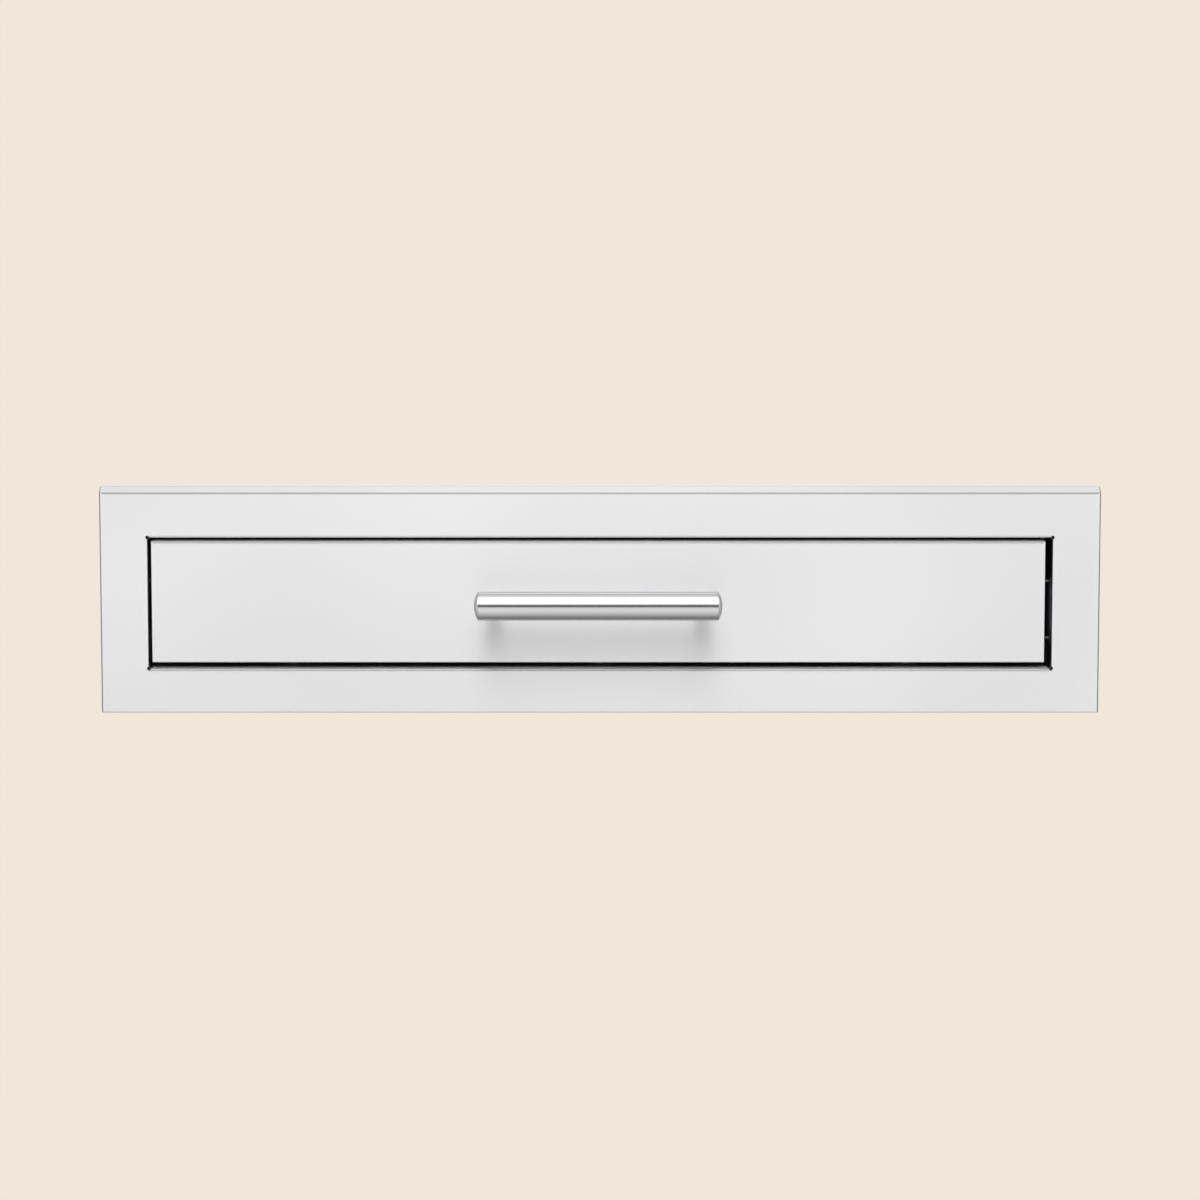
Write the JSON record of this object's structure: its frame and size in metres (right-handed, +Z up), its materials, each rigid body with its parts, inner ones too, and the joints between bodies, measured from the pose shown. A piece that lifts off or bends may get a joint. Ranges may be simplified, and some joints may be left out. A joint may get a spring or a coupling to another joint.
{
  "type": "outdoor kitchen drawer unit",
  "caption": "Wide built-in stainless steel drawer with a folded face frame, a sheet metal housing, full extension ball bearing slides and a round bar handle.",
  "frame": {"origin": "centre of the frame's opening, on the plane of the frame's back lip, which seats on the wall", "axes": "+X to the right seen from the front, +Y into the wall, +Z up; the drawer opens along -Y"},
  "size_m": [0.762, 0.5866, 0.173],
  "materials": {
    "frame_steel": "brushed along its length",
    "front_steel": "brushed along its length",
    "handle_steel": "satin polished",
    "sheet_steel": "mill finish",
    "tray_steel": "brushed along its width",
    "zinc_steel": "bright zinc plate",
    "ball_steel": "polished",
    "fastener_steel": "bright",
    "rivet_metal": "bright",
    "black_plastic": "fine grain",
    "white_plastic": "natural nylon"
  },
  "bodies": {
    "housing": {"face_frame": "frame_steel", "housing_left_side": "sheet_steel", "housing_right_side": "sheet_steel", "housing_top": "sheet_steel", "housing_bottom": "sheet_steel", "housing_back": "sheet_steel", "housing_rivets": "rivet_metal", "slide_screws": "fastener_steel", "slide_nuts": "fastener_steel", "left_slide_outer": "zinc_steel", "right_slide_outer": "zinc_steel", "left_slide_stop": "black_plastic", "right_slide_stop": "black_plastic"},
    "drawer": {"drawer_front_skin": "front_steel", "drawer_front_liner": "sheet_steel", "handle_backing_plate": "sheet_steel", "handle_spacers": "fastener_steel", "handle_tube": "handle_steel", "handle_left_cap": "handle_steel", "handle_right_cap": "handle_steel", "handle_left_post": "handle_steel", "handle_right_post": "handle_steel", "handle_screws": "fastener_steel", "handle_washers": "fastener_steel", "tray_body": "tray_steel", "tray_front": "tray_steel", "tray_back": "tray_steel", "tray_rivets": "rivet_metal", "front_screws": "fastener_steel", "front_washers": "fastener_steel", "front_clinch_nuts": "fastener_steel", "left_slide_inner": "zinc_steel", "right_slide_inner": "zinc_steel", "inner_slide_screws": "fastener_steel", "lever_pins": "fastener_steel"},
    "left_slide_middle": {"left_slide_middle": "zinc_steel"},
    "left_outer_cage": {"left_outer_cage": "zinc_steel", "left_outer_balls": "ball_steel"},
    "left_inner_cage": {"left_inner_cage": "zinc_steel", "left_inner_balls": "ball_steel"},
    "left_lever": {"left_release_lever": "black_plastic"},
    "right_slide_middle": {"right_slide_middle": "zinc_steel"},
    "right_outer_cage": {"right_outer_cage": "zinc_steel", "right_outer_balls": "ball_steel"},
    "right_inner_cage": {"right_inner_cage": "zinc_steel", "right_inner_balls": "ball_steel"},
    "right_lever": {"right_release_lever": "black_plastic"}
  },
  "joints": [
    {"name": "drawer_slide", "type": "slide", "parent": "housing", "child": "drawer", "axis": [0, -1, 0], "range_m": [0, 0.5]},
    {"name": "left_slide_middle_travel", "type": "slide", "parent": "housing", "child": "left_slide_middle", "axis": [0, -1, 0], "range_m": [0, 0.25]},
    {"name": "left_outer_cage_travel", "type": "slide", "parent": "housing", "child": "left_outer_cage", "axis": [0, -1, 0], "range_m": [0, 0.125]},
    {"name": "left_inner_cage_travel", "type": "slide", "parent": "housing", "child": "left_inner_cage", "axis": [0, -1, 0], "range_m": [0, 0.375]},
    {"name": "left_lever_press", "type": "hinge", "parent": "drawer", "child": "left_lever", "pos_m": [-0.33605, 0.285, -0.006], "axis": [1, 0, 0], "range_deg": [-7, 7], "stiffness_Nm_per_rad": 0.1},
    {"name": "right_slide_middle_travel", "type": "slide", "parent": "housing", "child": "right_slide_middle", "axis": [0, -1, 0], "range_m": [0, 0.25]},
    {"name": "right_outer_cage_travel", "type": "slide", "parent": "housing", "child": "right_outer_cage", "axis": [0, -1, 0], "range_m": [0, 0.125]},
    {"name": "right_inner_cage_travel", "type": "slide", "parent": "housing", "child": "right_inner_cage", "axis": [0, -1, 0], "range_m": [0, 0.375]},
    {"name": "right_lever_press", "type": "hinge", "parent": "drawer", "child": "right_lever", "pos_m": [0.33605, 0.285, -0.006], "axis": [1, 0, 0], "range_deg": [-7, 7], "stiffness_Nm_per_rad": 0.1}
  ],
  "couplings": [
    {"joint": "left_slide_middle_travel", "follows": "drawer_slide", "ratio": 0.5},
    {"joint": "left_outer_cage_travel", "follows": "drawer_slide", "ratio": 0.25},
    {"joint": "left_inner_cage_travel", "follows": "drawer_slide", "ratio": 0.75},
    {"joint": "right_slide_middle_travel", "follows": "drawer_slide", "ratio": 0.5},
    {"joint": "right_outer_cage_travel", "follows": "drawer_slide", "ratio": 0.25},
    {"joint": "right_inner_cage_travel", "follows": "drawer_slide", "ratio": 0.75}
  ]
}
